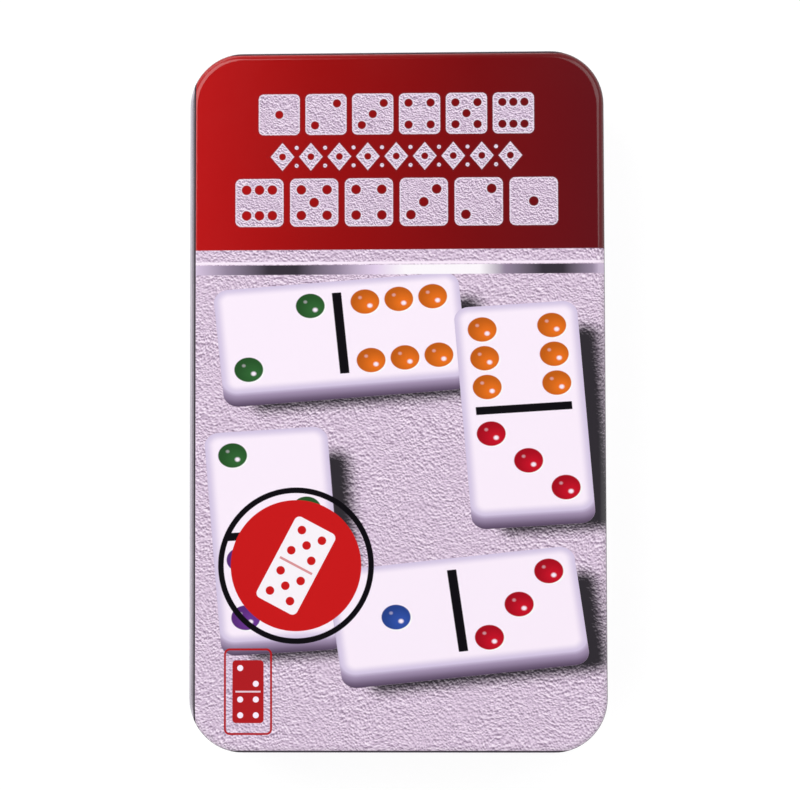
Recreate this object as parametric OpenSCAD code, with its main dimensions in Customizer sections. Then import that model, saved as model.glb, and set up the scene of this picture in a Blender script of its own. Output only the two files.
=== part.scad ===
// Slip-lid tin that stores a double-six set of dominoes in a formed tray.
// It lies flat on its bottom seam: X across the lid, Y along it, Z up, origin under the middle of the tin.

/* [Domino tiles] */
// Length of a tile
tile_l = 48; // [40:0.5:56]
// Width of a tile
tile_w = 24; // [20:0.5:28]
// Thickness of a tile
tile_t = 9.5; // [7:0.5:12]
// Radius of a tile's upright corners
tile_corner_r = 2; // [1:0.25:2.5]
// Radius round a tile's faces
tile_edge_r = 1.3; // [0.6:0.1:2]
// Diameter of a pip where it meets the face
pip_d = 4.8; // [3.5:0.1:5.2]
// Depth of a pip
pip_depth = 0.9; // [0.4:0.1:1.4]
// Distance between pips along the tile
pip_along = 6.4; // [5.8:0.1:6.8]
// Distance between pips across the tile
pip_across = 7; // [6:0.1:7.4]
// Length of the groove across the middle of a tile
groove_l = 19; // [14:0.5:19.5]
// Width of that groove
groove_w = 1.5; // [1:0.1:2]
// Depth of that groove
groove_depth = 0.5; // [0.3:0.1:1]

/* [Packing] */
// Space between neighbouring tiles
tile_gap = 0.1; // [0.05:0.05:0.4]
// Space round the tiles in a well
well_fit = 0.4; // [0.2:0.1:0.8]
// Space between pieces that rest on each other
seat_gap = 0.05; // [0.02:0.01:0.1]

/* [Tray] */
// Thickness of the formed sheet
tray_t = 0.6; // [0.4:0.1:1]
// Draft of the well walls, in degrees
tray_draft = 1.5; // [0.5:0.25:3]
// Radius where the deck rolls over into a well
lip_r = 1; // [0.8:0.1:1.1]
// Radius along the foot of a well
well_foot_r = 0.8; // [0.4:0.1:1]
// Radius of a well's upright corners, at its floor
well_corner_r = 2.2; // [1.5:0.1:3]
// Width of the rib between the wells, at the deck
rib_w = 2.4; // [2.2:0.1:6]
// Width of the deck beside the wells
deck_side = 3; // [2.6:0.1:8]
// Width of the deck at the ends of the wells
deck_end = 8.2; // [7:0.1:16]
// How far the top tiles stand above the deck
tile_show = 1.8; // [0.5:0.1:4]
// Radius of a finger scoop, at the deck
scoop_r = 12; // [9:0.5:14]
// How far a scoop reaches past the end of its well
scoop_reach = 5.8; // [3:0.1:6]
// Radius along the deck's outer edge
deck_edge_r = 1; // [0.8:0.1:1.4]
// Depth of the tray's outer flange
flange_h = 7; // [4:0.5:12]

/* [Tin] */
// Thickness of the tinplate
sheet_t = 0.4; // [0.25:0.05:0.5]
// Space between the tray and the rim of the body
tray_fit = 0.35; // [0.2:0.05:1]
// Outer radius of the curl along the body's rim
rim_r = 0.8; // [0.7:0.05:1.2]
// Space over the tiles, up to the lid
headroom = 8; // [6:0.5:20]
// Width of the folded seam inside the wall
side_seam_w = 5; // [3:0.5:8]

/* [Bottom seam] */
// Height of the seam
seam_h = 3.2; // [2.6:0.1:4]
// Space between the folded layers
fold_gap = 0.05; // [0.03:0.01:0.1]
// Height of the bottom panel over the table
panel_lift = 1.4; // [1.2:0.1:2]
// Inner radius of the seam's two lower bends
seam_bend_r = 0.2; // [0.1:0.05:0.3]
// Depth of the panel's sunk middle
panel_step = 0.8; // [0.75:0.05:1]
// Distance of that middle from the seam
panel_margin = 7; // [5:0.5:8]
// Inner radius of the bends round it
step_bend_r = 0.1; // [0.05:0.05:0.12]

/* [Lid] */
// Radius of the lid's upright corners
corner_r = 15; // [12:0.5:20]
// Radius where the lid's face turns over its edge
lid_edge_r = 2.2; // [1:0.1:2.4]
// Height of the lid, from its face to the end of its skirt
skirt_h = 14; // [8:0.5:18]
// Outer radius of the curl along the skirt
hem_r = 0.7; // [0.6:0.05:0.9]
// Space between that curl and the body
hem_fit = 0.25; // [0.1:0.05:0.5]
// Space between the lid and the body's rim
rest_gap = 0.1; // [0.05:0.05:0.3]

/* [Hidden] */
TILES = [for (low = [0:6]) for (high = [low:6]) [low, high]];
function tile_name(t) = str("domino_", t[0], "_", t[1]);
$fn = 64;
eps = 0.01;

// Two wells, with the tiles in two layers
columns = 2;
layers = 2;
rows = len(TILES) / (columns * layers);

// Heights, from the table up
panel_top = panel_lift + sheet_t;
tray_bottom = panel_top + seat_gap;
well_floor = tray_bottom + tray_t;
tile_z = [for (k = [0:layers - 1]) well_floor + seat_gap + k * (tile_t + seat_gap)];
tiles_top = tile_z[layers - 1] + tile_t;
deck_z = tiles_top - tile_show;
lid_inside = tiles_top + headroom;
box_h = lid_inside + sheet_t;
rim_top = lid_inside - rest_gap;
skirt_end = box_h - skirt_h;

// Plan of the tray: half sizes, all from the tiles
well_depth = deck_z - well_floor;
draft_run = well_depth * tan(tray_draft);
well_half_x = tile_l / 2 + well_fit;
well_half_y = (rows * tile_w + (rows - 1) * tile_gap) / 2 + well_fit;
well_x = rib_w / 2 + draft_run + well_half_x;
tray_half_x = well_x + well_half_x + draft_run + deck_side;
tray_half_y = well_half_y + draft_run + deck_end;

// Steps outwards from the tray to the lid, the same on every side
rim_in = tray_fit;
wall_out = rim_in + 2 * rim_r;
wall_in = wall_out - sheet_t;
skirt_out = wall_out + hem_fit + 2 * hem_r;

// Upright axes of the four corners, which all the tin's pieces share
axis_x = tray_half_x + skirt_out - corner_r;
axis_y = tray_half_y + skirt_out - corner_r;
tray_r = corner_r - skirt_out;
wall_r = tray_r + wall_out;
wall_in_r = tray_r + wall_in;

// Folded bottom seam, in distances from the corner axis
chuck_r = wall_in_r - fold_gap;
cover_hook_r = wall_r + fold_gap;
body_hook_r = cover_hook_r + sheet_t + fold_gap;
seam_wall_r = body_hook_r + sheet_t + fold_gap;
seam_r = seam_wall_r + sheet_t;
fold_r = (body_hook_r + sheet_t - wall_in_r) / 2;
wall_fold_x = wall_in_r + fold_r;
wall_fold_z = sheet_t + fold_gap + fold_r;
cover_fold_x = cover_hook_r + fold_r;
cover_fold_z = seam_h - fold_r;

// A rectangle by its corners, for profiles
module bar(x0, z0, x1, z1) {
    translate([x0, z0])
        square([x1 - x0, z1 - z0]);
}

// A quarter or half turn of sheet round [x, z]: quadrants 1 to 4 anticlockwise from the upper right
module bend(x, z, r, quadrants) {
    intersection() {
        translate([x, z])
            difference() {
                circle(r);
                circle(r - sheet_t);
            }
        union() {
            for (q = quadrants) {
                left = q == 2 || q == 3;
                low = q == 3 || q == 4;
                translate([x - (left ? r + 1 : 0), z - (low ? r + 1 : 0)])
                    square(r + 1);
            }
        }
    }
}

// Carries a profile, drawn at its distance from the corner axis, round the four sides and corners
module around(half_x, half_y) {
    for (turn = [0:3]) {
        long = turn % 2 == 0;
        out = long ? half_x : half_y;
        run = long ? half_y : half_x;
        rotate([0, 0, 90 * turn]) {
            translate([out, run, 0])
                rotate([90, 0, 0])
                    linear_extrude(2 * run)
                        children();
            translate([out, run, 0])
                rotate_extrude(angle = 90)
                    children();
        }
    }
}

// The same, for a profile that starts at the axis, with the middle filled from z0 to z1
module filled(half_x, half_y, z0, z1) {
    around(half_x, half_y)
        children();
    translate([-half_x, -half_y, z0])
        cube([2 * half_x, 2 * half_y, z1 - z0]);
}

// Curl of sheet inside the end of a wall whose outer face is at x: three quarters of a turn
module curl(x, z, r, up) {
    difference() {
        translate([x - r, z])
            circle(r);
        translate([x - r, z])
            circle(r - sheet_t);
        bar(x - r, up ? z - r - eps : z, x - sheet_t, up ? z : z + r + eps);
    }
    bar(x - sheet_t, up ? z - r : z, x, up ? z : z + r);
}

module lid_profile() {
    edge_x = corner_r - lid_edge_r;
    edge_z = box_h - lid_edge_r;
    bar(0, lid_inside, edge_x, box_h);
    bend(edge_x, edge_z, lid_edge_r, [1]);
    bar(corner_r - sheet_t, skirt_end + hem_r, corner_r, edge_z);
    curl(corner_r, skirt_end + hem_r, hem_r, false);
}

// Drawn lid with a rolled-over edge and a safety curl inside the skirt
module lid() {
    color([0.72, 0.1, 0.12])
        filled(axis_x, axis_y, lid_inside, box_h)
            lid_profile();
}

module wall_profile() {
    bar(wall_in_r, wall_fold_z, wall_r, rim_top - rim_r);
    curl(wall_r, rim_top - rim_r, rim_r, true);
    bend(wall_fold_x, wall_fold_z, fold_r, [3, 4]);
    bar(body_hook_r, wall_fold_z, body_hook_r + sheet_t, cover_fold_z);
}

// Body wall: curled rim, folded side seam at the back, flange hooked into the bottom seam
module tin_wall() {
    seam_y = axis_y + wall_in_r;
    seam_low = panel_top + seat_gap;
    seam_high = rim_top - 2 * rim_r - seat_gap;
    color([0.78, 0.78, 0.8]) {
        around(axis_x, axis_y)
            wall_profile();
        translate([-side_seam_w / 2, seam_y - 2 * sheet_t, seam_low])
            cube([side_seam_w, 2 * sheet_t + eps, seam_high - seam_low]);
    }
}

module bottom_profile() {
    low_r = seam_bend_r + sheet_t;
    inner_x = chuck_r - sheet_t + low_r;
    outer_x = seam_r - low_r;
    panel_x = chuck_r - low_r;
    panel_z = panel_top - low_r;
    step_r = step_bend_r + sheet_t;
    step_x = chuck_r - panel_margin;
    sunk_x = step_x - step_r - step_bend_r;
    sunk_z = panel_lift - panel_step + step_r;
    bar(0, panel_lift - panel_step, sunk_x, panel_top - panel_step);
    bend(sunk_x, sunk_z, step_r, [4]);
    bar(step_x - step_r, sunk_z, step_x - step_bend_r, panel_top - step_r);
    bend(step_x, panel_top - step_r, step_r, [2]);
    bar(step_x, panel_lift, panel_x, panel_top);
    bend(panel_x, panel_z, low_r, [1]);
    bar(chuck_r - sheet_t, low_r, chuck_r, panel_z);
    bend(inner_x, low_r, low_r, [3]);
    bar(inner_x, 0, outer_x, sheet_t);
    bend(outer_x, low_r, low_r, [4]);
    bar(seam_wall_r, low_r, seam_r, cover_fold_z);
    bend(cover_fold_x, cover_fold_z, fold_r, [1, 2]);
    bar(cover_hook_r, wall_fold_z, cover_hook_r + sheet_t, cover_fold_z);
}

// Bottom panel with a sunk middle, recessed inside a seam that hooks over the wall's flange
module tin_bottom() {
    color([0.78, 0.78, 0.8])
        filled(axis_x, axis_y, panel_lift - panel_step, panel_top - panel_step)
            bottom_profile();
}

// Half section of a well's space: drafted wall, rounded foot, lip that rolls out on to the deck.
// r is the radius at the floor and grow the sheet that is wrapped round it.
module well_section(r, grow) {
    top = deck_z + (grow > 0 ? 0 : eps);
    low = well_floor - grow;
    foot = grow > 0 ? 0 : well_foot_r;
    lean = tan(tray_draft);
    wall = r + grow;
    difference() {
        polygon([
            [0, low],
            [wall + lean * (low - well_floor), low],
            [wall + lean * (top - well_floor), top],
            [0, top]
        ]);
        if (foot > 0)
            foot_corner(wall, foot);
    }
    if (grow == 0)
        lip(r + draft_run);
}

// What a rounded foot leaves out of a well's corner
module foot_corner(wall, foot) {
    difference() {
        bar(wall - foot, well_floor - eps, wall + 1, well_floor + foot);
        translate([wall - foot, well_floor + foot])
            circle(foot);
    }
}

// What a rolled lip adds to a well's space at the deck
module lip(wall) {
    difference() {
        bar(wall - 2 * eps, deck_z - lip_r, wall + lip_r, deck_z + eps);
        translate([wall + lip_r, deck_z - lip_r])
            circle(lip_r);
    }
}

// One well with its two finger scoops
module well(grow) {
    half_x = well_half_x - well_corner_r;
    half_y = well_half_y - well_corner_r;
    top = deck_z + (grow > 0 ? 0 : eps);
    filled(half_x, half_y, well_floor - grow, top)
        well_section(well_corner_r, grow);
    for (side = [-1, 1])
        translate([0, side * (well_half_y + draft_run + scoop_reach - scoop_r), 0])
            rotate_extrude()
                well_section(scoop_r - draft_run, grow);
}

module deck_profile() {
    edge_x = tray_r - deck_edge_r;
    edge_z = deck_z - deck_edge_r;
    bar(0, deck_z - tray_t, edge_x, deck_z);
    intersection() {
        translate([edge_x, edge_z])
            difference() {
                circle(deck_edge_r);
                circle(deck_edge_r - tray_t);
            }
        bar(edge_x, edge_z, tray_r, deck_z);
    }
    bar(tray_r - tray_t, deck_z - flange_h, tray_r, edge_z);
}

// Formed tray: deck with a turned-down flange, two drafted wells and a hollow rib between them
module tray() {
    color([0.12, 0.12, 0.13])
        difference() {
            union() {
                filled(axis_x, axis_y, deck_z - tray_t, deck_z)
                    deck_profile();
                for (side = [-1, 1])
                    translate([side * well_x, 0, 0])
                        well(tray_t);
            }
            for (side = [-1, 1])
                translate([side * well_x, 0, 0])
                    well(0);
        }
}

// A bar with its four long edges rounded, along Z and centred
module rounded_bar(size, r) {
    linear_extrude(size[2], center = true)
        union() {
            square([size[0] - 2 * r, size[1]], center = true);
            square([size[0], size[1] - 2 * r], center = true);
            for (x = [-1, 1], y = [-1, 1])
                translate([x * (size[0] / 2 - r), y * (size[1] / 2 - r)])
                    circle(r);
        }
}

// A blank tile, standing on z = 0: three rounded bars that cross
module blank() {
    translate([0, 0, tile_t / 2])
        intersection() {
            rounded_bar([tile_l, tile_w, tile_t], tile_corner_r);
            rotate([90, 0, 0])
                rounded_bar([tile_l, tile_t, tile_w], tile_edge_r);
            rotate([0, 90, 0])
                rounded_bar([tile_t, tile_w, tile_l], tile_edge_r);
        }
}

// Places of the pips of one half, in steps along and across the tile
function pips(n) = concat(
    n % 2 == 1 ? [[0, 0]] : [],
    n > 1 ? [[-1, -1], [1, 1]] : [],
    n > 3 ? [[-1, 1], [1, -1]] : [],
    n == 6 ? [[0, -1], [0, 1]] : []
);

module pip_hollow() {
    r = pip_d / 2;
    ball_r = (r * r + pip_depth * pip_depth) / (2 * pip_depth);
    translate([0, 0, tile_t + ball_r - pip_depth])
        sphere(ball_r);
}

// A tile with t[0] pips on its left half and t[1] on its right
module domino(t) {
    color([0.95, 0.94, 0.96])
        difference() {
            blank();
            for (half = [0, 1])
                for (p = pips(t[half]))
                    translate([(half - 0.5) * tile_l / 2 + p[0] * pip_along, p[1] * pip_across, 0])
                        pip_hollow();
            translate([-groove_w / 2, -groove_l / 2, tile_t - groove_depth])
                cube([groove_w, groove_l, groove_depth + 1]);
        }
}

// Place of tile number n: every eleventh place in turn, so that the set lies well mixed
function place(n) =
    let (at = (11 * n + 5) % len(TILES))
    let (layer = floor(at / (columns * rows)))
    let (column = floor(at / rows) % columns)
    [
        (2 * column - 1) * well_x,
        (at % rows - (rows - 1) / 2) * (tile_w + tile_gap),
        tile_z[layer]
    ];

module placed_domino(n) {
    translate(place(n))
        domino(TILES[n]);
}

tin_bottom();
tin_wall();
lid();
tray();
for (n = [0:len(TILES) - 1])
    placed_domino(n);
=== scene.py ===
import math

import bpy
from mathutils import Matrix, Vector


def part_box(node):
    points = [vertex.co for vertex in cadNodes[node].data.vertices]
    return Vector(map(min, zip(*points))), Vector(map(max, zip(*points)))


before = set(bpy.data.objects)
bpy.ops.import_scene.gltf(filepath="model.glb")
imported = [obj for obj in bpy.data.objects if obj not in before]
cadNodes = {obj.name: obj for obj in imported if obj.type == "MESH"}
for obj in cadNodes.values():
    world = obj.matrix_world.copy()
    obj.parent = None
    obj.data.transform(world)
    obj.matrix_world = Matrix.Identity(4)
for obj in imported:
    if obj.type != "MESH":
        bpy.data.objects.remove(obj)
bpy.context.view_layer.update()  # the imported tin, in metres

print("frame loaded:", len(cadNodes), "nodes")


# Shader maths: every operator on a wire adds one Math or Vector Math node

class Wire:
    def __init__(self, shader, socket):
        self.shader = shader
        self.socket = socket
        self.isVector = socket.type in ("VECTOR", "RGBA")

    def combine(self, operation, *values):
        kind = "ShaderNodeVectorMath" if self.isVector else "ShaderNodeMath"
        inputs = {i: value for i, value in enumerate(values)}
        output = "Value" if operation == "LENGTH" else 0
        return self.shader.node(kind, {"operation": operation}, inputs, output)

    def __add__(self, other):
        return self.combine("ADD", self, other)

    def __sub__(self, other):
        return self.combine("SUBTRACT", self, other)

    def __rsub__(self, other):
        return self.combine("SUBTRACT", other, self)

    def __mul__(self, other):
        if self.isVector and not isVectorLike(other):
            return self.shader.node("ShaderNodeVectorMath", {"operation": "SCALE"},
                                    {0: self, 3: other})
        return self.combine("MULTIPLY", self, other)

    def __truediv__(self, other):
        return self.combine("DIVIDE", self, other)

    def __mod__(self, other):
        return self.combine("MODULO", self, other)

    def __gt__(self, other):
        return self.combine("GREATER_THAN", self, other)

    def __lt__(self, other):
        return self.combine("LESS_THAN", self, other)

    def __abs__(self):
        return self.combine("ABSOLUTE", self)

    def floor(self):
        return self.combine("FLOOR", self)

    def length(self):
        return self.combine("LENGTH", self)

    def split(self):
        node = self.shader.node("ShaderNodeSeparateXYZ", {}, {0: self}).socket.node
        return [Wire(self.shader, socket) for socket in node.outputs]


def isVectorLike(value):
    return isinstance(value, tuple) or isinstance(value, Wire) and value.isVector


def least(first, *others):
    for other in others:
        first = first.combine("MINIMUM", first, other)
    return first


def most(first, *others):
    for other in others:
        first = first.combine("MAXIMUM", first, other)
    return first


class Shader:
    def __init__(self, name):
        self.material = bpy.data.materials.new(name)
        self.material.use_nodes = True
        self.tree = self.material.node_tree
        self.tree.nodes.clear()

    def node(self, kind, settings=None, inputs=None, output=0):
        made = self.tree.nodes.new(kind)
        for name, value in (settings or {}).items():
            if name == "stops":
                setStops(made.color_ramp, value)
            else:
                setattr(made, name, value)
        for key, value in (inputs or {}).items():
            if isinstance(value, Wire):
                self.tree.links.new(value.socket, made.inputs[key])
            else:
                made.inputs[key].default_value = value
        return Wire(self, made.outputs[output])

    def place(self):
        # object coordinates in millimetres
        return self.node("ShaderNodeTexCoord", {}, {}, "Object") * mm

    def mix(self, factor, first, second):
        # one colour or another, by a factor
        return self.node("ShaderNodeMix", {"data_type": "RGBA"},
                         {0: factor, 6: first, 7: second}, 2)

    def point(self, factor, first, second):
        # one place or another
        return self.node("ShaderNodeMix", {"data_type": "VECTOR"},
                         {0: factor, 4: first, 5: second}, 1)

    def number(self, factor, first, second):
        # one number or another
        return self.node("ShaderNodeMix", {"data_type": "FLOAT"},
                         {0: factor, 2: first, 3: second}, 0)

    def inside(self, distance, soft, edge=0.0):
        # 1 where a distance is below the edge, 0 above it, with a soft step between
        return self.node("ShaderNodeMapRange", {"interpolation_type": "SMOOTHSTEP"},
                         {0: distance, 1: edge - soft, 2: edge + soft, 3: 1.0, 4: 0.0})

    def ramp(self, value, stops):
        return self.node("ShaderNodeValToRGB", {"stops": stops}, {0: value})

    def noise(self, vector, scale, detail=2.0, roughness=0.5):
        return self.node("ShaderNodeTexNoise", {},
                         {"Vector": vector, "Scale": scale, "Detail": detail,
                          "Roughness": roughness}) - 0.5

    def cells(self, vector, scale):
        return self.node("ShaderNodeTexVoronoi", {}, {"Vector": vector, "Scale": scale})

    def vector(self, x, y, z=0.0):
        return self.node("ShaderNodeCombineXYZ", {}, {0: x, 1: y, 2: z})

    def turned(self, vector, at, degrees):
        return self.node("ShaderNodeMapping", {"vector_type": "TEXTURE"},
                         {"Vector": vector, "Location": (at[0], at[1], 0),
                          "Rotation": (0, 0, math.radians(degrees))})

    def bump(self, height, distance):
        return self.node("ShaderNodeBump", {}, {"Height": height, "Distance": distance})

    def finish(self, inputs):
        surface = self.node("ShaderNodeBsdfPrincipled", {}, inputs)
        made = self.tree.nodes.new("ShaderNodeOutputMaterial")
        self.tree.links.new(surface.socket, made.inputs["Surface"])
        return self.material


def setStops(ramp, stops):
    while len(ramp.elements) < len(stops):
        ramp.elements.new(0.5)
    for element, (position, colour) in zip(ramp.elements, stops):
        element.position = position
        element.color = colour


def ink(red, green, blue):
    # a screen colour, 0 to 255, as the shader wants it
    linear = [c / 3294.6 if c <= 10 else ((c / 255 + 0.055) / 1.055) ** 2.4
              for c in (red, green, blue)]
    return (*linear, 1.0)


# Sizes that the print shares with the tin, in millimetres

mm = 1000  # in a metre
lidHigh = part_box("lid")[1] * mm
tin = {
    "cornerRadius": 15.0,
    "edgeRadius": 2.2,    # of the rolled edge of the lid
    "halfX": lidHigh.x,
    "halfY": lidHigh.y,
    "top": lidHigh.z,
    "skin": 0.2,          # half the sheet, which parts the outer face from the inner
}
axisX = tin["halfX"] - tin["cornerRadius"]
axisY = tin["halfY"] - tin["cornerRadius"]


def boxDistance(point, halfX, halfY, radius):
    # distance from a rounded rectangle; inside it is never below -radius
    corner = most(abs(point) - (halfX - radius, halfY - radius, 0), (0, 0, 0))
    return corner.length() - radius


farAway = 99  # a distance that no print reaches


def pipDistance(point, count, along, across):
    # distance to the nearest pip of one half of a tile; count may be a wire, which is
    # compared with values between whole counts
    plain = isinstance(count, int)
    folded = abs(point)
    parts = []
    if not plain:
        parts.append(point.length() + (1 - count % 2) * farAway)
    elif count % 2:
        parts.append(point.length())
    if not plain or count > 1:
        corners = (folded - (along, across, 0)).length()
        if not plain or count < 4:
            x, y, _ = point.split()
            diagonal = x * y > 0
            if not plain:
                diagonal = most(diagonal, count > 3.5) * (count > 1.5)
            corners = corners + (1 - diagonal) * farAway
        parts.append(corners)
    if not plain:
        parts.append((folded - (0, across, 0)).length() + (count < 5.5) * farAway)
    elif count == 6:
        parts.append((folded - (0, across, 0)).length())
    return least(*parts)


# The lid's print

leatherLook = {
    "colour": ink(216, 194, 218),
    "light": ink(255, 240, 255),
    "dark": ink(146, 125, 149),
    "contrast": 1.62,
    "patches": 0.09,      # stronger and weaker patches, per millimetre
    "wander": 3.4,        # how far wrinkles stray, in millimetres
    "lean": -6,           # wrinkles fall to the right, in degrees
    "stretch": 0.6,       # and are longer than they are high
    "wrinkle": 0.5,       # wrinkles per millimetre, up the lid
    "depth": 0.07,        # where a wrinkle's flank ends
    "wrinkleStrength": 2.6,
    "pebble": 1.45,       # pebbles per millimetre
    "pebbleShape": (1.5, 1.0, 1.0),
    "pebbleStrength": 0.62,
    "step": 0.16,         # from the lit side of a wrinkle to its dark side
    "lightFrom": (0.12, 1.0, 0.2),
}


def turnedPair(pair, degrees):
    angle = math.radians(degrees)
    return (pair[0] * math.cos(angle) - pair[1] * math.sin(angle),
            pair[0] * math.sin(angle) + pair[1] * math.cos(angle))


def leatherShade(shader, point):
    # about 0: the leather's relief lit from above, by the difference of two shifted copies
    look = leatherLook
    wander = shader.node("ShaderNodeTexNoise", {},
                         {"Vector": point, "Scale": look["patches"], "Detail": 1.0},
                         "Color")
    bent = point + (wander - (0.5, 0.5, 0.5)) * look["wander"]
    flat = shader.turned(bent, (0, 0), look["lean"]) * (look["stretch"], 1.0, 1.0)
    shades = []
    for step in (look["step"], -look["step"]):
        moved = flat + tuple(step * part for part in look["lightFrom"])
        fold = shader.noise(moved, look["wrinkle"], 2.0, 0.55)
        pebbles = shader.cells(moved * look["pebbleShape"], look["pebble"])
        shades.append(least(abs(fold), look["depth"]) * look["wrinkleStrength"]
                      - pebbles * look["pebbleStrength"])
    return (shades[0] - shades[1]) * (wander.split()[2] + 0.5)


def leatherColour(shader, shade):
    look = leatherLook
    value = shade * look["contrast"] + 0.5
    return shader.ramp(value, [(0.0, look["dark"]), (0.5, look["colour"]),
                               (1.0, look["light"])])


band = {
    "edge": 41.6,         # its lower edge
    "grain": 1.45,        # finer leather on the silver than below
    "silver": 1.4,        # and stronger
    "silverDark": 0.02,   # and a little darker
    # red darkening from left to right: partly a printed gradient, partly painted light,
    # brighter on the left
    "stops": [(0.0, ink(189, 22, 24)), (0.3, ink(156, 15, 16)), (0.7, ink(119, 13, 17)),
              (1.0, ink(98, 19, 26))],
}
bright, pale, mid, dark = [ink(255, 250, 255), ink(228, 208, 236), ink(150, 135, 158),
                           ink(58, 52, 62)]
bar = {
    "middle": 36.05,
    "half": 1.35,
    "lineMiddle": 1.9,    # the pale line over it, from the bar's middle
    "lineHalf": 0.35,
    "stops": [(0.0, pale), (0.09, mid), (0.19, dark), (0.26, dark), (0.36, mid),
              (0.45, pale), (0.52, bright), (0.7, bright), (0.76, mid), (0.85, dark),
              (0.9, dark), (0.97, mid), (1.0, pale)],
}
frieze = {
    "faces": 6,           # in each row
    "topRow": 79.4,       # middle of the upper row
    "lowRow": 54.8,
    "topPitch": 13.0,
    "lowPitch": 15.2,
    "face": 0.44,         # half width of a face, in pitches
    "corner": 0.11,
    "pipStep": 0.235,
    "pip": 0.088,
    "rule": 67.6,         # middle of the row of lozenges
    "lozenges": 9,
    "lozenge": (3.3, 3.9),
    "lozengeSlope": 0.72,           # of its sides, which makes its formula a distance
    "lozengePitch": 7.9,
    "lozengeHole": 0.95,
    "bead": 0.55,
    "beadRise": 2.5,
    "lit": ink(235, 226, 238),      # the silver's pale border
    "litIn": 0.2,
    "litHalf": 0.15,
    "litStrength": 0.75,
    "shadow": ink(96, 44, 52),      # the red's dark line beside it
    "shadowOut": 0.25,
    "shadowHalf": 0.1,
    "shadowStrength": 0.3,
}


def friezeDistance(shader, point):
    # below 0 on the silver faces of the two rows, and on the rule between them
    f = frieze
    x, y, _ = point.split()
    isTop = y > f["rule"]
    pitch = shader.number(isTop, f["lowPitch"], f["topPitch"])
    halfRow = f["faces"] / 2
    place = x / pitch + halfRow
    index = place.floor()
    across = place - index - 0.5
    up = (y - shader.number(isTop, f["lowRow"], f["topRow"])) / pitch
    spot = shader.vector(across, up)
    count = shader.number(isTop, index * -1 + f["faces"], index + 1)
    face = boxDistance(spot, f["face"], f["face"], f["corner"])
    insidePip = f["pip"] - pipDistance(spot, count, f["pipStep"], f["pipStep"])
    pastRow = abs(place - halfRow) - halfRow
    faces = most(face, insidePip, pastRow) * pitch
    # lozenges with a round hole, and small beads between them
    step = x / f["lozengePitch"] + 0.5
    beside = abs(step - step.floor() - 0.5) * f["lozengePitch"]
    above = abs(y - f["rule"])
    halfX, halfY = f["lozenge"]
    halfRule = f["lozengePitch"] * f["lozenges"] / 2
    lozenge = (beside / halfX + above / halfY - 1) * (halfX * f["lozengeSlope"])
    hole = f["lozengeHole"] - shader.vector(beside, above).length()
    fromBead = shader.vector(beside - f["lozengePitch"] / 2, above - f["beadRise"])
    bead = fromBead.length() - f["bead"]
    bead = most(bead, abs(x) - (halfRule - f["lozengePitch"] / 2))
    rule = most(least(most(lozenge, hole), bead), abs(x) - halfRule)
    return least(faces, rule)


pictureTile = {
    "lean": 1.18,                 # the picture looks down on a table at a slant
    "halfLong": 34.0,
    "halfWide": 17.0,
    "corner": 4.2,
    "thick": 4.4,                 # how much of the side shows
    "sideFalls": (0.06, -1.0),    # and which way
    "pip": 4.0,
    "along": 9.4,                 # from the middle of a half to its corner pips
    "across": 9.6,
    "face": ink(254, 241, 255),
    "rim": ink(216, 202, 230),
    "rimAt": -1.5,
    "rimSoft": 1.4,
    "side": [(0.0, ink(205, 190, 219)), (0.25, ink(166, 148, 179)),
             (0.7, ink(118, 100, 128)), (1.0, ink(84, 68, 92))],
    "divider": ink(16, 13, 19),
    "dividerHalf": 1.3,
    "dividerReach": 0.78,         # of half the width
    "shadow": ink(50, 46, 52),    # on the leather
    "shade": ink(160, 143, 172),  # on another tile's face
    "drop": (7.0, -7.0),
    "soft": 3.0,                  # of the shadow's edge
    "ragged": 2.5,                # how much the leather breaks the shadow's edge
    "glint": (0.72, -0.69),       # which way the pips' highlight lies
    "glintAt": 1.9,
    "glintSpot": (0.35, 0.65),    # softness of its edge, and its radius
    "darkSpot": (2.8, 2.6),       # the pip is darker past this
    "dark": 0.62,
    "farSpot": (0.3, 0.25),       # a fainter highlight on the other side
    "farStrength": 0.35,
    "crescent": 0.5,              # the white edge that a sunk pip shows
}
chain = [
    {"at": (-34.0, -37.0), "turn": 94, "counts": (4, 2)},
    {"at": (16.5, -58.0), "turn": 7, "counts": (1, 3)},
    {"at": (-15.5, 18.5), "turn": 5, "counts": (2, 6)},
    {"at": (35.0, -2.5), "turn": -86, "counts": (6, 3)},
]
pipInks = {
    1: ink(52, 84, 172),
    2: ink(52, 104, 54),
    3: ink(205, 20, 42),
    4: ink(112, 58, 150),
    5: ink(70, 44, 34),
    6: ink(240, 118, 32),
}
plainTile = {             # small flat tile, in parts of its half width or length
    "corner": 0.24,
    "pipStep": 0.5,
    "pip": 0.19,
    "lineHalf": 0.025,
    "lineReach": 0.8,
}
badge = {
    "at": (-27.9, -45.6),
    "disc": 18.0,
    "ring": 20.7,
    "line": 0.78,         # half the ring's width
    "tile": {"halfLong": 12.5, "counts": (5, 5), "turn": 62},
    "red": ink(203, 26, 28),
    "black": ink(15, 12, 18),
    "white": ink(252, 246, 252),
}
emblem = {
    "at": (-41.1, -80.1),
    "halfX": 6.6,
    "halfY": 11.8,
    "corner": 1.6,
    "line": 0.28,
    "lineIn": 0.25,
    "red": ink(178, 30, 36),
    "tile": {"halfLong": 8.6, "counts": (4, 2), "turn": 90},
}


def pipColour(shader, count):
    # colour of a pip by the number on its half tile; each stop starts just below its number
    span = len(pipInks) + 1
    stops = [((number - 0.5) / span, colour) for number, colour in sorted(pipInks.items())]
    value = shader.ramp((count - 0.2) / span, stops)
    value.socket.node.color_ramp.interpolation = "CONSTANT"
    return value


def foldedPips(shader, point, count, halfLong, along, across):
    # both halves of a tile at once, the low one turned half round on to the high one
    x, y, _ = point.split()
    centred = shader.vector(abs(x) - halfLong / 2, y * ((x > 0) * 2 - 1))
    return pipDistance(centred, count, along, across)


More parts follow.
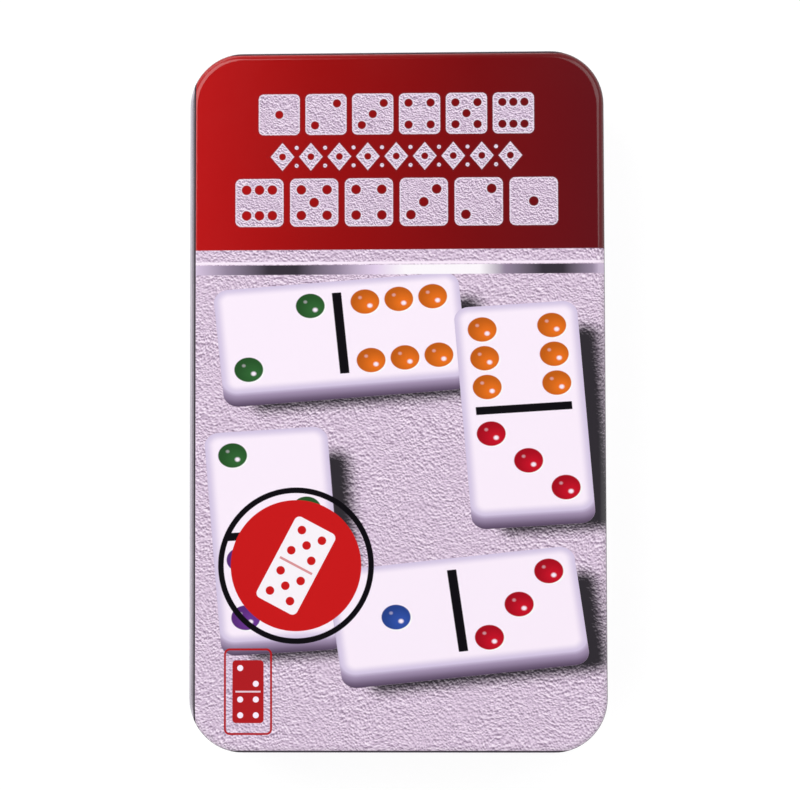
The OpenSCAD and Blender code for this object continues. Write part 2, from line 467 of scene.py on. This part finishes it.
def seenTile(shader, point):
    # the chain's top tile at a point: distances from its face and its side, the place on it,
    # its two counts and its pips' highlight; also the distance from the shadow on it
    t = pictureTile
    table = point * (1.0, t["lean"], 0.0)
    chosen = shadow = None
    for tile in chain:
        x, y = tile["at"]
        local = shader.turned(table, (x, y * t["lean"]), tile["turn"])
        face = boxDistance(local, t["halfLong"], t["halfWide"], t["corner"])
        away = turnedPair(t["sideFalls"], -tile["turn"])
        half = t["thick"] / 2
        side = boxDistance(local - (away[0] * half, away[1] * half, 0),
                           t["halfLong"] + abs(away[0]) * half,
                           t["halfWide"] + abs(away[1]) * half, t["corner"])
        drop = turnedPair(t["drop"], -tile["turn"])
        fall = boxDistance(local - (*drop, 0), t["halfLong"] - 1, t["halfWide"] - 1,
                           t["corner"])
        glint = (*turnedPair(t["glint"], -tile["turn"]), 0)
        low, high = tile["counts"]
        if chosen is None:
            chosen = [face, side, local, low, high, glint]
            shadow = shader.number(side < 0, fall, farAway)
        else:
            here = side < 0
            wasFace, wasSide, wasLocal, wasLow, wasHigh, wasGlint = chosen
            chosen = [shader.number(here, wasFace, face), shader.number(here, wasSide, side),
                      shader.point(here, wasLocal, local), shader.number(here, wasLow, low),
                      shader.number(here, wasHigh, high), shader.point(here, wasGlint, glint)]
            shadow = shader.number(here, least(shadow, fall), farAway)
    return chosen, shadow


def paintFace(shader, local, counts, glint, ground):
    # divider and glossy pips
    t = pictureTile
    bars = boxDistance(local, t["dividerHalf"], t["halfWide"] * t["dividerReach"], 0.2)
    ground = shader.mix(shader.inside(bars, 0.12), ground, t["divider"])
    count = shader.number(local.split()[0] > 0, *counts)
    spread = (count, t["halfLong"], t["along"], t["across"])
    pips = foldedPips(shader, local, *spread)
    crescent = foldedPips(shader, local - glint * t["crescent"], *spread)
    sheen = foldedPips(shader, local - glint * t["glintAt"], *spread)
    # squared distance from the spot opposite the highlight, by the parallelogram law
    opposite = pips * pips * 2 - sheen * sheen + 2 * t["glintAt"] ** 2
    plain = pipColour(shader, count)
    rich = shader.mix(shader.inside(sheen, *t["darkSpot"]), plain * t["dark"], plain)
    rich = shader.mix(shader.inside(opposite, *t["farSpot"]) * t["farStrength"], rich,
                      t["face"])
    rich = shader.mix(shader.inside(sheen, *t["glintSpot"]), rich, t["face"])
    ground = shader.mix(shader.inside(crescent, 0.25, t["pip"]), ground, (1, 1, 1, 1))
    return shader.mix(shader.inside(pips, 0.15, t["pip"]), ground, rich)


def paintChain(shader, point, ground, grain):
    # tiles laid end to end, later ones on top, with their sides and their soft shadow
    t = pictureTile
    (face, side, local, low, high, glint), shadow = seenTile(shader, point)
    dark = shader.inside(shadow + grain * t["ragged"], t["soft"], 0.3)
    colour = shader.mix(dark, ground, t["shadow"])
    # the tile's side, its rounded rim and its face
    deep = shader.ramp(face / t["thick"], t["side"])
    colour = shader.mix(shader.inside(side, 0.12), colour, deep)
    faceInk = shader.mix(shader.inside(face, t["rimSoft"], t["rimAt"]), t["rim"], t["face"])
    faceInk = shader.mix(shader.inside(shadow, t["soft"], -0.5), faceInk, t["shade"])
    faceInk = paintFace(shader, local, (low, high), glint, faceInk)
    return shader.mix(shader.inside(face, 0.3), colour, faceInk)


def tileSign(shader, point, sign, face, marks, ground):
    # the plain tile, used on the badge and the emblem
    p = plainTile
    local = shader.turned(point, sign["at"], sign["tile"]["turn"])
    halfLong = sign["tile"]["halfLong"]
    halfWide = halfLong / 2
    outline = boxDistance(local, halfLong, halfWide, halfWide * p["corner"])
    count = shader.number(local.split()[0] > 0, *sign["tile"]["counts"])
    pipStep = halfWide * p["pipStep"]
    pips = foldedPips(shader, local, count, halfLong, pipStep, pipStep)
    line = boxDistance(local, halfLong * p["lineHalf"], halfWide * p["lineReach"], 0.02)
    mark = least(pips - halfWide * p["pip"], line)
    inner = shader.mix(shader.inside(mark, 0.08), face, marks)
    return shader.mix(shader.inside(outline, 0.08), ground, inner)


def paintBadge(shader, point, ground):
    # a red disc in a black ring
    b = badge
    reach = (point - (*b["at"], 0)).length()
    colour = shader.mix(shader.inside(reach, 0.1, b["disc"]), ground, b["red"])
    ring = abs(reach - b["ring"]) - b["line"]
    colour = shader.mix(shader.inside(ring, 0.1), colour, b["black"])
    return tileSign(shader, point, b, b["white"], b["red"], colour)


def paintEmblem(shader, point, ground):
    # a red tile in a thin frame
    e = emblem
    outline = boxDistance(point - (*e["at"], 0), e["halfX"], e["halfY"], e["corner"])
    frameLine = abs(outline + e["lineIn"]) - e["line"]
    colour = shader.mix(shader.inside(frameLine, 0.08), ground, e["red"])
    return tileSign(shader, point, e, e["red"], leatherLook["light"], colour)


def paintBar(shader, y, across, ground):
    # metal-look bar with a pale line over it
    barLine = abs(y - bar["middle"]) - bar["half"]
    paleLine = abs(y - bar["middle"] - bar["lineMiddle"]) - bar["lineHalf"]
    colour = shader.mix(shader.inside(paleLine, 0.15), ground, leatherLook["light"])
    return shader.mix(shader.inside(barLine, 0.12), colour, shader.ramp(across, bar["stops"]))


def paintBand(shader, flat, y, across, grain, ground):
    # red band with the silver frieze
    f = frieze
    # partly painted light: the red is brighter on the left
    red = shader.ramp(across, band["stops"])
    here = friezeDistance(shader, flat)
    silver = leatherColour(shader, grain * band["silver"] - band["silverDark"])
    fromLit = abs(here + f["litIn"]) - f["litHalf"]
    silver = shader.mix(shader.inside(fromLit, 0.12) * f["litStrength"], silver, f["lit"])
    fromShadow = abs(here - f["shadowOut"]) - f["shadowHalf"]
    bandInk = shader.mix(shader.inside(fromShadow, 0.2) * f["shadowStrength"], red,
                         f["shadow"])
    bandInk = shader.mix(shader.inside(here, 0.1), bandInk, silver)
    isBand = shader.inside(y * -1, 0.12, -band["edge"])
    return shader.mix(isBand, ground, bandInk)


# the print ends in painted shade: a dark line along the rolled edge, where the real edge
# mirrors dark surroundings
artEdge = {
    "shift": (0.9, -0.02),        # the print sits a little right of the tin's middle
    "inset": (0.37, 0.22),        # from the lid's outline
    "corner": 9.5,                # squarer than the lid, so the line leaves it at the corners
    "reach": 1.9,                 # how far down the rolled edge the print goes
    "line": 0.52,                 # width of the painted shade line round the print
    "ink": ink(36, 26, 40),       # and its colour
    "matt": 0.7,                  # and its roughness
    "gloss": 0.14,                # roughness of the varnish
    "smudge": 0.14,               # and how far it changes
    "smudges": 0.05,              # per millimetre
}


def artDistance(shader, flat, z):
    # below 0 on the lid's print, which ends on the rolled edge
    e = artEdge
    spot = flat - (*e["shift"], 0)
    plan = boxDistance(spot, tin["halfX"] - e["inset"][0], tin["halfY"] - e["inset"][1],
                       e["corner"])
    return most(plan, z * -1 + (tin["top"] - e["reach"]))


def outerSkin(shader, flat, z):
    # 1 on the lid's outer face, 0 on its inside
    corner, edge = tin["cornerRadius"], tin["edgeRadius"]
    out = most(abs(flat) - (axisX, axisY, 0), (0, 0, 0)).length()
    roll = most(shader.vector(out - (corner - edge), z - (tin["top"] - edge)), (0, 0, 0))
    return roll.length() > edge - tin["skin"]


bareLook = {
    "dull": ink(188, 181, 193),
    "bright": ink(222, 214, 226),
    "roughness": 0.17,
    "relief": 0.00002,            # in metres
    "grain": 1.6,                 # rolling lines per millimetre
    "lines": (0.05, 1.0, 1.0),    # they run along X
    "lineColour": 0.5,            # how much they change the colour
    "lineRoughness": 0.1,
    "clouds": 0.05,               # per millimetre
    "cloudColour": 0.6,
    "cloudRoughness": 0.08,
}


def bareTin(shader, point):
    # colour, roughness and height of plain tinplate: faint rolling lines and clouds
    look = bareLook
    rolled = shader.noise(point * look["lines"], look["grain"], 3.0, 0.7)
    cloud = shader.noise(point, look["clouds"], 2.0)
    blend = cloud * look["cloudColour"] + rolled * look["lineColour"] + 0.5
    colour = shader.mix(blend, look["dull"], look["bright"])
    uneven = rolled * look["lineRoughness"] + cloud * look["cloudRoughness"]
    return colour, uneven + look["roughness"], rolled


def lidMaterial():
    shader = Shader("lidPrint")
    point = shader.place()
    x, y, z = point.split()
    flat = shader.vector(x, y)
    finer = shader.number(y > band["edge"], 1.0, band["grain"])
    grain = leatherShade(shader, point * finer)
    leather = leatherColour(shader, grain)
    across = x / (2 * tin["halfX"]) + 0.5
    colour = paintChain(shader, flat, leather, grain)
    colour = paintBadge(shader, flat, colour)
    colour = paintEmblem(shader, flat, colour)
    colour = paintBar(shader, y, across, colour)
    colour = paintBand(shader, flat, y, across, grain, colour)
    # a dark line painted round the print as shade on the rolled edge, and bare metal past it
    # and inside
    art = artDistance(shader, flat, z)
    line = artEdge["line"] / 2
    shadeLine = shader.inside(abs(art + line) - line, 0.08)
    colour = shader.mix(shadeLine, colour, artEdge["ink"])
    printed = outerSkin(shader, flat, z) * shader.inside(art, 0.06)
    bareColour, bareRoughness, _ = bareTin(shader, point)
    gloss = shader.noise(flat, artEdge["smudges"], 3.0) * artEdge["smudge"] + artEdge["gloss"]
    gloss = shader.number(shadeLine, gloss, artEdge["matt"])
    return shader.finish({
        "Base Color": shader.mix(printed, bareColour, colour),
        "Metallic": 1 - printed,
        "Roughness": shader.number(printed, bareRoughness, gloss),
    })


def tinplateMaterial():
    shader = Shader("bareTinplate")
    colour, roughness, height = bareTin(shader, shader.place())
    return shader.finish({
        "Base Color": colour,
        "Metallic": 1.0,
        "Roughness": roughness,
        "Normal": shader.bump(height, bareLook["relief"]),
    })


trayLook = {
    "colour": ink(30, 29, 32),
    "worn": ink(58, 56, 60),
    "wear": 0.35,         # how much of the worn colour shows
    "roughness": 0.32,
    "clouds": 0.08,       # per millimetre
    "cloudWear": 0.8,
    "cloudRoughness": 0.25,
    "peel": 0.9,          # orange peel, per millimetre
    "relief": 0.00006,    # in metres
}


def trayMaterial():
    look = trayLook
    shader = Shader("trayPlastic")
    point = shader.place()
    peel = shader.noise(point, look["peel"], 2.0)
    cloud = shader.noise(point, look["clouds"], 3.0)
    wear = cloud * look["cloudWear"] + look["wear"]
    return shader.finish({
        "Base Color": shader.mix(wear, look["colour"], look["worn"]),
        "Roughness": cloud * look["cloudRoughness"] + look["roughness"],
        "Normal": shader.bump(peel, look["relief"]),
    })


tileLook = {
    "body": ink(243, 238, 243),
    "shade": ink(232, 224, 231),
    "groove": ink(24, 22, 26),
    "long": 48.0,
    "pip": 2.37,          # a little inside the sunk pip's edge
    "along": 6.4,
    "across": 7.0,
    "grooveHalf": (0.73, 9.48),
    "grooveFrom": -0.15,  # depth at which its paint starts
    "deepest": -1.2,      # no paint below this
    "roughness": 0.22,
    "paintGloss": 0.1,    # the paint is this much less rough
    "clouds": 0.06,       # per millimetre
    "cloudColour": 1.4,
    "specks": 1.1,        # per millimetre
    "speckRoughness": 0.08,
    "relief": 0.00001,    # in metres
}


def tileMaterial(name, low, high):
    # resin body, with paint in the sunk pips and the groove
    t = tileLook
    shader = Shader("tile_%d_%d" % (low, high))
    lowCorner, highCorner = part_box(name)
    middle = (lowCorner + highCorner) / 2 * mm
    top = highCorner.z * mm
    local = shader.place() - (middle.x, middle.y, top)
    x, y, z = local.split()
    flat = shader.vector(x, y)
    cloud = shader.noise(local, t["clouds"], 3.0)
    speck = shader.noise(local, t["specks"], 2.0)
    colour = shader.mix(cloud * t["cloudColour"] + 0.5, t["shade"], t["body"])
    nearTop = z > t["deepest"]
    paint = None
    for side, count in ((-1, low), (1, high)):
        if count:
            spot = flat - (side * t["long"] / 4, 0, 0)
            pips = pipDistance(spot, count, t["along"], t["across"])
            here = shader.inside(pips, 0.06, t["pip"]) * nearTop
            colour = shader.mix(here, colour, pipInks[count])
            paint = here if paint is None else most(paint, here)
    groove = boxDistance(flat, *t["grooveHalf"], 0.02)
    inGroove = shader.inside(groove, 0.05) * (z < t["grooveFrom"]) * nearTop
    colour = shader.mix(inGroove, colour, t["groove"])
    paint = inGroove if paint is None else most(paint, inGroove)
    return shader.finish({
        "Base Color": colour,
        "Roughness": speck * t["speckRoughness"] + t["roughness"] - paint * t["paintGloss"],
        "Normal": shader.bump(speck, t["relief"]),
    })


def paintNodes():
    slots = []
    plain = tinplateMaterial()
    made = {"lid": lidMaterial(), "tin_wall": plain, "tin_bottom": plain,
            "tray": trayMaterial()}
    for name in cadNodes:
        if name.startswith("domino_"):
            low, high = [int(part) for part in name.split("_")[1:]]
            made[name] = tileMaterial(name, low, high)
    for name, material in made.items():
        for slot in cadNodes[name].material_slots:
            slot.material = material
            slots.append(name)
    print("materials:", len(made), "slots:", len(slots))


paintNodes()


# Floor, light and camera

studio = {
    "floorSize": 6.0,
    "paper": {                    # the floor as each kind of ray meets it
        "roughness": 0.8,
        "camera": (0.2, 0.2, 0.2, 1.0),
        "gloss": (0.9, 0.9, 0.9, 1.0),
        "bounce": (0.36, 0.36, 0.37, 1.0),
        "glow": 0.85,             # added for the camera, so that lit paper is white
    },
    "cameraAt": (0.02511, -0.03497, 0.7),
    "cameraTurn": (3.088, 2.08, -0.148),  # in degrees
    "lens": 109.6,
    "sensor": 36,
    "lamps": {
        "upperLeft": {"at": (-0.66, 0.6, 1.05), "size": (0.9, 0.9), "power": 8.0},
        "upperRight": {"at": (0.66, 0.6, 1.05), "size": (0.9, 0.9), "power": 4.7},
        "lowerLeft": {"at": (-0.66, -0.6, 1.05), "size": (0.9, 0.9), "power": 4.4},
        "lowerRight": {"at": (0.66, -0.6, 1.05), "size": (0.9, 0.9), "power": 3.6},
        "backStrip": {"at": (-0.35, 1.1, 0.22), "size": (1.2, 0.12), "power": 1.9},
        "sideStrip": {"at": (1.1, 0.0, 0.32), "size": (0.3, 1.6), "power": 0.8},
    },
    # brightness by how far up a reflection looks; the top is dark, as over a copy stand
    "sky": [(0.0, 0.6), (0.15, 0.52), (0.35, 0.42), (0.6, 0.36), (0.8, 0.08), (0.92, 0.03)],
}


def makeFloor():
    # white to the camera, and darker as a source of light
    bpy.ops.object.select_all(action="DESELECT")
    bpy.ops.mesh.primitive_plane_add(size=studio["floorSize"], location=(0, 0, 0))
    floor = bpy.context.object
    floor.name = "floor"
    shader = Shader("floorPaper")
    paper = studio["paper"]
    path = shader.node("ShaderNodeLightPath").socket.node.outputs
    camera, glossy, through = [Wire(shader, path[name]) for name in
                               ("Is Camera Ray", "Is Glossy Ray", "Is Transmission Ray")]
    seen = shader.mix(most(glossy, through), paper["bounce"], paper["gloss"])
    floor.data.materials.append(shader.finish({
        "Base Color": shader.mix(camera, seen, paper["camera"]),
        "Roughness": paper["roughness"],
        "Emission Color": shader.mix(camera, (0, 0, 0, 1), (1, 1, 1, 1)),
        "Emission Strength": paper["glow"],
    }))


def makeWorld():
    # white to the camera, a soft gradient to everything else
    world = bpy.data.worlds.new("studio")
    world.use_nodes = True
    bpy.context.scene.world = world
    tree = world.node_tree
    coordinate = tree.nodes.new("ShaderNodeTexCoord")
    split = tree.nodes.new("ShaderNodeSeparateXYZ")
    tree.links.new(coordinate.outputs["Generated"], split.inputs[0])
    ramp = tree.nodes.new("ShaderNodeValToRGB")
    setStops(ramp.color_ramp, [(at, (grey, grey, grey, 1)) for at, grey in studio["sky"]])
    tree.links.new(split.outputs[2], ramp.inputs[0])
    path = tree.nodes.new("ShaderNodeLightPath")
    white = tree.nodes.new("ShaderNodeMix")
    white.data_type = "RGBA"
    tree.links.new(path.outputs["Is Camera Ray"], white.inputs[0])
    tree.links.new(ramp.outputs[0], white.inputs[6])
    white.inputs[7].default_value = (1, 1, 1, 1)
    tree.links.new(white.outputs[2], tree.nodes["Background"].inputs[0])


def makeLamp(name, look):
    bpy.ops.object.select_all(action="DESELECT")
    bpy.ops.object.light_add(type="AREA", location=look["at"])
    lamp = bpy.context.object
    lamp.name = name
    lamp.data.shape = "RECTANGLE"
    lamp.data.size, lamp.data.size_y = look["size"]
    lamp.data.energy = look["power"]
    lamp.rotation_euler = lamp.location.to_track_quat("Z", "Y").to_euler()


def makeCamera():
    bpy.ops.object.camera_add(location=studio["cameraAt"],
                              rotation=[math.radians(a) for a in studio["cameraTurn"]])
    camera = bpy.context.object
    camera.name = "camera"
    camera.data.lens = studio["lens"]
    camera.data.sensor_width = studio["sensor"]
    camera.data.dof.use_dof = False
    bpy.context.scene.camera = camera


makeFloor()
makeWorld()
for lampName, lampLook in studio["lamps"].items():
    makeLamp(lampName, lampLook)
makeCamera()
bpy.context.scene.view_settings.view_transform = "Standard"
print("studio set")
